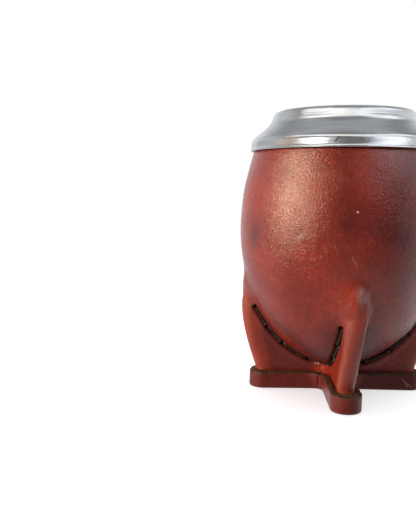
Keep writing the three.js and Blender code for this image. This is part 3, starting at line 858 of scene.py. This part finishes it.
# The strip's section: distance from the fins' mid-planes and height.
section = [(BAND_OUTER_HALF, z) for z in np.linspace(BAND_HEIGHT - 0.95, 0.75, 13)]
section += [(5.95, 0.42), (5.8, 0.17), (5.55, 0.03), (5.1, 0.0), (4.0, 0.0), (3.6, 0.15)]
section += [(BAND_INNER_HALF, z) for z in (0.6, 3.0, 5.0, BAND_HEIGHT - 0.5)]
section += [(3.55, BAND_HEIGHT - 0.12), (3.8, BAND_HEIGHT), (4.35, BAND_HEIGHT - 0.05),
            (4.85, BAND_HEIGHT - 0.14), (5.3, BAND_HEIGHT - 0.26), (5.7, BAND_HEIGHT - 0.42),
            (5.93, BAND_HEIGHT - 0.62)]
section = np.array(section)
strip = np.stack([band_line(half, z) for half, z in section], 1)
strip = np.concatenate([strip, np.broadcast_to(section[None, :, 1:], (*strip.shape[:2], 1))], 2)
raw = smooth(0.9, 0.6, BAND_HEIGHT - section[:, 1]) + smooth(0.3, 0.0, section[:, 1])
raw = np.broadcast_to(raw, strip.shape[:2])
fray = wobble(strip * (3, 3, 1), 4.5, 21) + 0.6 * wobble(strip * (4, 4, 1), 1.6, 22)
strip[..., 2] += FRAY_HEIGHT * fray * raw * smooth(3.5, 5.5, strip[..., 2])
wave = wobble(strip * (1, 1, 0.2), 16.0, 23)
strip[..., :2] *= 1 + BAND_WAVINESS * (wave * smooth(0, 3, strip[..., 2]))[..., None]
band = build("foot_strip", strip, attributes=(("raw", raw),))
look, tree, shader, where = new_look("leather_strip")
worn = math_node(tree, "MULTIPLY", attribute(tree, "raw"), 0.3)
colour = leather_look(tree, shader, where, base=(0.23, 0.023, 0.014), deep=(0.08, 0.008, 0.006),
                      dullness=0.42, shine=0.45, worn=worn)
fibre = ramp(tree, noise(tree, where, 1300.0, 4.0, 0.7), 0.42, 0.62)
edge = blend(tree, fibre, (0.018, 0.006, 0.004), (0.13, 0.050, 0.018))
colour = blend(tree, attribute(tree, "raw"), colour, edge)
scratched = marks(tree, where, 0.35, (((27.0, -6.0, 4.8), (28.7, -6.0, 3.3)),
                                      ((28.7, -6.0, 3.3), (30.8, -6.0, 1.7)),
                                      ((28.7, -6.0, 3.3), (29.2, -6.0, 1.6))))
colour = blend(tree, math_node(tree, "MULTIPLY", scratched, 0.7), colour, (0.30, 0.24, 0.27))
tree.links.new(colour, shader.inputs["Base Color"])
band.data.materials.append(look)
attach(band, "root")
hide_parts("foot_band")

# The rim. A disc of thin aluminium is spun into a collar: a skirt that grips the leather's top edge,
# a sloping shoulder, a rolled lip and a short lining down inside the mouth. It is brushed round.
RIM_POINTS = 256
LATHE_MARK_DEPTH = 0.00005
skirt_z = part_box("metal_rim")[0].z / MM
lip_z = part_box("metal_rim")[1].z / MM
# The rim's profile: radius and height in mm.
rim_outside = [
    (37.75, skirt_z), (37.85, skirt_z + 0.25), (37.7, skirt_z + 0.6), (37.5, skirt_z + 0.9),
    (37.5, 101.2), (37.47, 102.2), (37.3, 103.0), (37.0, 103.55), (36.6, 104.05), (36.05, 104.6),
    (35.3, 105.25), (33.3, 106.95), (31.3, 108.7), (30.7, 109.25), (30.2, 109.85), (29.8, 110.45),
    (29.52, 111.0), (29.35, 111.5), (29.15, 112.0), (28.92, 112.6), (28.68, 113.2), (28.42, 113.8),
    (28.1, 114.3), (27.6, 114.72), (26.9, lip_z), (26.2, 114.95), (25.4, 114.65), (24.7, 114.15),
    (24.2, 113.6),
    (23.85, 112.9), (23.65, 112.2), (23.6, 111.4), (23.6, 106.0), (23.6, 101.6),
]
rim_under = [
    (23.9, 101.5), (24.2, 101.6), (24.2, 111.7), (24.5, 113.1), (25.4, 114.0), (26.7, 114.2),
    (27.6, 113.3), (28.2, 112.0), (28.8, 110.8), (29.8, 109.2), (35.1, 104.5), (36.3, 103.0),
    (36.8, 101.2), (37.1, skirt_z + 0.2), (37.4, skirt_z),
]
rings = turned(rim_outside + rim_under, RIM_POINTS)
rim = build("rim", rings, looped=True)
look, tree, shader, where = new_look("spun_aluminium")
split = add(tree, "ShaderNodeSeparateXYZ", {"Vector": where}).outputs
radius = add(tree, "ShaderNodeVectorMath", {0: add(tree, "ShaderNodeCombineXYZ", {
    "X": split["X"], "Y": split["Y"]}).outputs[0]}, operation="LENGTH").outputs["Value"]
lines_at = add(tree, "ShaderNodeCombineXYZ", {"X": radius, "Z": split["Z"]}).outputs[0]
lines = noise(tree, lines_at, 5200.0, 3.0, 0.7)
turned_marks = noise(tree, lines_at, 1400.0, 2.0, 0.6)
streaks = noise(tree, where, 90.0, 4.0, 0.6, (1.0, 1.0, 14.0))
dull = noise(tree, where, 70.0, 3.0, 0.5)
colour = blend(tree, ramp(tree, streaks, 0.4, 0.7, 0.0, 0.5), (0.64, 0.64, 0.65), (0.50, 0.51, 0.53))
nick = marks(tree, where, 0.45, (((-7.9, -36.6, 101.1), (-7.3, -36.7, 101.9)),
                                 ((-7.3, -36.7, 101.9), (-6.6, -36.9, 103.0))))
colour = blend(tree, math_node(tree, "MULTIPLY", nick, 0.7), colour, (0.12, 0.11, 0.10))
tree.links.new(colour, shader.inputs["Base Color"])
shader.inputs["Metallic"].default_value = 1.0
shader.inputs["Anisotropic"].default_value = 0.75
round_about = add(tree, "ShaderNodeTangent", {}, direction_type="RADIAL", axis="Z")
tree.links.new(round_about.outputs[0], shader.inputs["Tangent"])
rough = ramp(tree, dull, 0.3, 0.8, 0.16, 0.27)
tree.links.new(rough, shader.inputs["Roughness"])
height = math_node(tree, "ADD", lines, turned_marks)
raised = add(tree, "ShaderNodeBump", {"Height": height, "Distance": LATHE_MARK_DEPTH,
                                      "Strength": 0.6})
tree.links.new(raised.outputs[0], shader.inputs["Normal"])
rim.data.materials.append(look)
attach(rim, "root")
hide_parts("metal_rim")

# The floor, the light and the camera. The plain pale floor glows a little, which keeps it near white.
# Soft lights at the left, at the right and overhead light the leather, and smaller ones of its own
# light the metal. The surround is white to the camera and dimmer to all that it lights.
FLOOR_HALF = 0.4
FLOOR_GLOW = 0.62
LENS_MM = 44.81
FRAME_WIDTH_MM = 36.0
LIGHT_DISTANCE = 0.9
TOP_LIGHT_DISTANCE = 1.0
floor_mesh = bpy.data.meshes.new("floor")
floor_mesh.from_pydata([(-FLOOR_HALF, -FLOOR_HALF, 0), (FLOOR_HALF, -FLOOR_HALF, 0),
                        (FLOOR_HALF, FLOOR_HALF, 0), (-FLOOR_HALF, FLOOR_HALF, 0)], [], [(0, 1, 2, 3)])
floor = bpy.data.objects.new("floor", floor_mesh)
bpy.context.scene.collection.objects.link(floor)
look, tree, shader, where = new_look("floor_pale")
shader.inputs["Base Color"].default_value = (0.86, 0.86, 0.86, 1)
shader.inputs["Roughness"].default_value = 0.9
shader.inputs["Emission Color"].default_value = (1, 1, 1, 1)
shader.inputs["Emission Strength"].default_value = FLOOR_GLOW
floor_mesh.materials.append(look)

CAMERA_AT = np.array([-41.9, -273.4, 84.8]) * MM
CAMERA_RIGHT = np.array([0.9988, 0.0489, 0.0073])
CAMERA_UP = np.array([-0.0129, 0.1133, 0.9935])
CAMERA_FORWARD = np.array([-0.0477, 0.9924, -0.1138])
eye = bpy.data.cameras.new("camera")
eye.lens = LENS_MM
eye.sensor_width = FRAME_WIDTH_MM
eye.clip_start = 0.01
eye.clip_end = 20.0
camera = bpy.data.objects.new("camera", eye)
bpy.context.scene.collection.objects.link(camera)
camera.matrix_world = Matrix((
    (CAMERA_RIGHT[0], CAMERA_UP[0], -CAMERA_FORWARD[0], CAMERA_AT[0]),
    (CAMERA_RIGHT[1], CAMERA_UP[1], -CAMERA_FORWARD[1], CAMERA_AT[1]),
    (CAMERA_RIGHT[2], CAMERA_UP[2], -CAMERA_FORWARD[2], CAMERA_AT[2]),
    (0, 0, 0, 1),
))
bpy.context.scene.camera = camera
middle = Vector((0, 0, 0.06))  # what the lights face
camera_heading = math.atan2(CAMERA_AT[0], -CAMERA_AT[1])


def softbox(name, azimuth, elevation, size, power, glow, distance=LIGHT_DISTANCE):
    """A flat light that faces the cup. Azimuth is from the camera's side, positive to its right."""
    heading = camera_heading + math.radians(azimuth)
    rise = math.radians(elevation)
    lamp = bpy.data.lights.new(name, "AREA")
    lamp.shape = "RECTANGLE"
    lamp.size, lamp.size_y = size
    lamp.energy = power
    lamp.color = glow
    obj = bpy.data.objects.new(name, lamp)
    bpy.context.scene.collection.objects.link(obj)
    back = Vector((math.sin(heading) * math.cos(rise), -math.cos(heading) * math.cos(rise),
                   math.sin(rise)))
    obj.location = middle + back * distance
    obj.rotation_euler = back.to_track_quat("Z", "Y").to_euler()
    return obj


key = softbox("light_left", -55, 16, (0.44, 0.30), 8.9, (1.0, 0.80, 0.55))
fill = softbox("light_right", 64, 36, (0.62, 0.34), 2.1, (0.86, 0.92, 1.0))
over = softbox("light_top", 0, 84, (1.3, 1.1), 1.5, (0.93, 0.97, 1.0), TOP_LIGHT_DISTANCE)
rim_lights = [
    softbox("light_left_on_metal", -34, 14, (0.38, 0.45), 2.2, (1.0, 0.98, 0.94)),
    softbox("light_warm_on_metal", -70, 18, (0.5, 0.6), 0.32, (1.0, 0.62, 0.38)),
    softbox("light_right_on_metal", 60, 20, (0.70, 0.56), 2.2, (0.90, 0.95, 1.0)),
    softbox("light_top_on_metal", 0, 84, (1.3, 1.1), 1.1, (0.93, 0.97, 1.0), TOP_LIGHT_DISTANCE),
    softbox("light_left_on_lip", -38, 54, (1.0, 0.26), 1.5, (1.0, 0.98, 0.95)),
    softbox("light_right_on_lip", 64, 51, (1.2, 0.26), 1.5, (0.92, 0.96, 1.0)),
    softbox("light_middle_on_lip", 12, 56, (0.16, 0.3), 0.14, (1.0, 0.88, 0.72)),
    softbox("light_front_on_metal", -5, 6, (1.0, 0.6), 0.2, (1.0, 0.90, 0.80)),
]
floor_sun = bpy.data.objects.new("light_floor", bpy.data.lights.new("light_floor", "SUN"))
floor_sun.data.energy = 1.7
floor_sun.data.angle = math.radians(80)
bpy.context.scene.collection.objects.link(floor_sun)


def only_on(lamp, things):
    """The lamp lights only these things, though everything still casts its shadow."""
    group = bpy.data.collections.new(lamp.name + "_things")
    for thing in things:
        group.objects.link(thing)
    lamp.light_linking.receiver_collection = group


only_on(floor_sun, [floor])
for lamp in rim_lights:
    only_on(lamp, [rim])
for lamp in (key, fill, over):
    only_on(lamp, [leather, band, gourd] + threads)
floor.visible_diffuse = False
floor.visible_glossy = False

world = bpy.data.worlds.new("surround")
bpy.context.scene.world = world
world.use_nodes = True
tree = world.node_tree
tree.nodes.clear()
way = add(tree, "ShaderNodeTexCoord", {}).outputs["Generated"]


def towards(azimuth, elevation=0.0):
    """How nearly the world's direction points to an azimuth from the camera's side, -1 to 1."""
    heading = camera_heading + math.radians(azimuth)
    rise = math.radians(elevation)
    to = (math.sin(heading) * math.cos(rise), -math.cos(heading) * math.cos(rise), math.sin(rise))
    return add(tree, "ShaderNodeVectorMath", {0: way, 1: to}, operation="DOT_PRODUCT").outputs["Value"]


# What the metal mirrors: pale panels round a dim room, and a brighter table than ceiling.
height = add(tree, "ShaderNodeSeparateXYZ", {"Vector": way}).outputs["Z"]
behind = ramp(tree, towards(180), 0.6, 0.95, 0.0, 0.8)
beside = ramp(tree, towards(-112), 0.6, 0.98, 0.0, 0.55)
right = ramp(tree, towards(116), 0.7, 0.97, 0.0, 0.8)
above = ramp(tree, height, -0.6, -0.1)
table = ramp(tree, towards(85), -0.2, 0.9, 0.38, 0.52)
below = math_node(tree, "MULTIPLY", math_node(tree, "SUBTRACT", 1.0, above), table)
front = math_node(tree, "MULTIPLY", above, ramp(tree, towards(-35), -0.3, 1.0, 0.02, 0.12))
high_left = ramp(tree, towards(-140, 45), 0.7, 0.97, 0.0, 0.32)
high_right = ramp(tree, towards(135, 45), 0.7, 0.97, 0.0, 0.3)
level = 0.0
for glow in (behind, beside, right, below, front, high_left, high_right):
    level = math_node(tree, "ADD", level, glow)
lit = add(tree, "ShaderNodeBackground", {"Color": (0.95, 0.98, 1.0, 1), "Strength": level})
seen = add(tree, "ShaderNodeBackground", {"Color": (1, 1, 1, 1), "Strength": 1.0})
path = add(tree, "ShaderNodeLightPath", {})
both = add(tree, "ShaderNodeMixShader", {0: path.outputs["Is Camera Ray"], 1: lit.outputs[0],
                                         2: seen.outputs[0]})
add(tree, "ShaderNodeOutputWorld", {"Surface": both.outputs[0]})
bpy.context.scene.view_settings.view_transform = "Standard"
